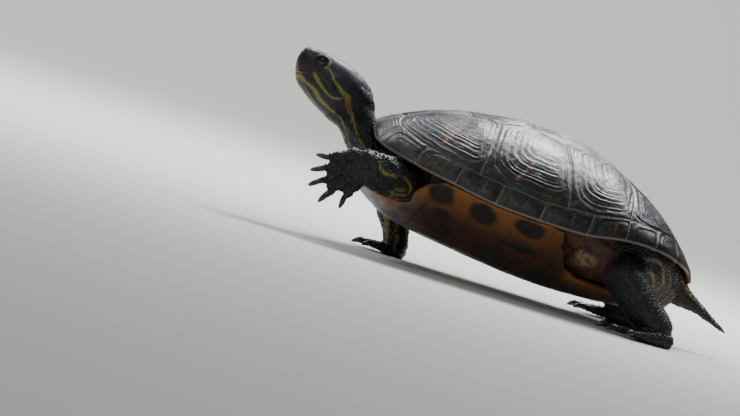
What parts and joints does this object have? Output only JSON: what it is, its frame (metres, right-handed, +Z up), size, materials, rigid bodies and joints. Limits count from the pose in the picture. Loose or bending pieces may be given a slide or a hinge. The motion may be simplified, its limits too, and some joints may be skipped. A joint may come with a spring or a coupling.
{
  "type": "red-eared slider turtle",
  "caption": "Life-size adult slider turtle with a low domed shell, head raised and one foreleg lifted, standing on three webbed feet",
  "frame": {"origin": "on the floor, under the middle of the whole animal's box", "axes": "+Z up, -Y the way the turtle faces, +X its left side"},
  "size_m": [0.2244, 0.3146, 0.1137],
  "materials": {
    "shell_horn": "glossy slate grey horn with growth rings",
    "belly_horn": "orange-brown horn with large dark spots",
    "skin": "dark scaly skin with yellow and orange stripes",
    "claw": "dark horn",
    "eye": "wet glossy eye"
  },
  "bodies": {
    "root": {"carapace": "shell_horn", "plastron": "belly_horn", "trunk": "skin", "neck": "skin", "head": "skin", "lower_jaw": "skin", "eye_left": "eye", "eye_right": "eye", "tail": "skin", "upper_leg_fore_left": "skin", "lower_leg_fore_left": "skin", "foot_fore_left": "skin", "claw_fore_left_1": "claw", "claw_fore_left_2": "claw", "claw_fore_left_3": "claw", "claw_fore_left_4": "claw", "claw_fore_left_5": "claw", "upper_leg_fore_right": "skin", "lower_leg_fore_right": "skin", "foot_fore_right": "skin", "claw_fore_right_1": "claw", "claw_fore_right_2": "claw", "claw_fore_right_3": "claw", "claw_fore_right_4": "claw", "claw_fore_right_5": "claw", "upper_leg_hind_left": "skin", "lower_leg_hind_left": "skin", "foot_hind_left": "skin", "claw_hind_left_1": "claw", "claw_hind_left_2": "claw", "claw_hind_left_3": "claw", "claw_hind_left_4": "claw", "upper_leg_hind_right": "skin", "lower_leg_hind_right": "skin", "foot_hind_right": "skin", "claw_hind_right_1": "claw", "claw_hind_right_2": "claw", "claw_hind_right_3": "claw", "claw_hind_right_4": "claw"}
  },
  "joints": []
}
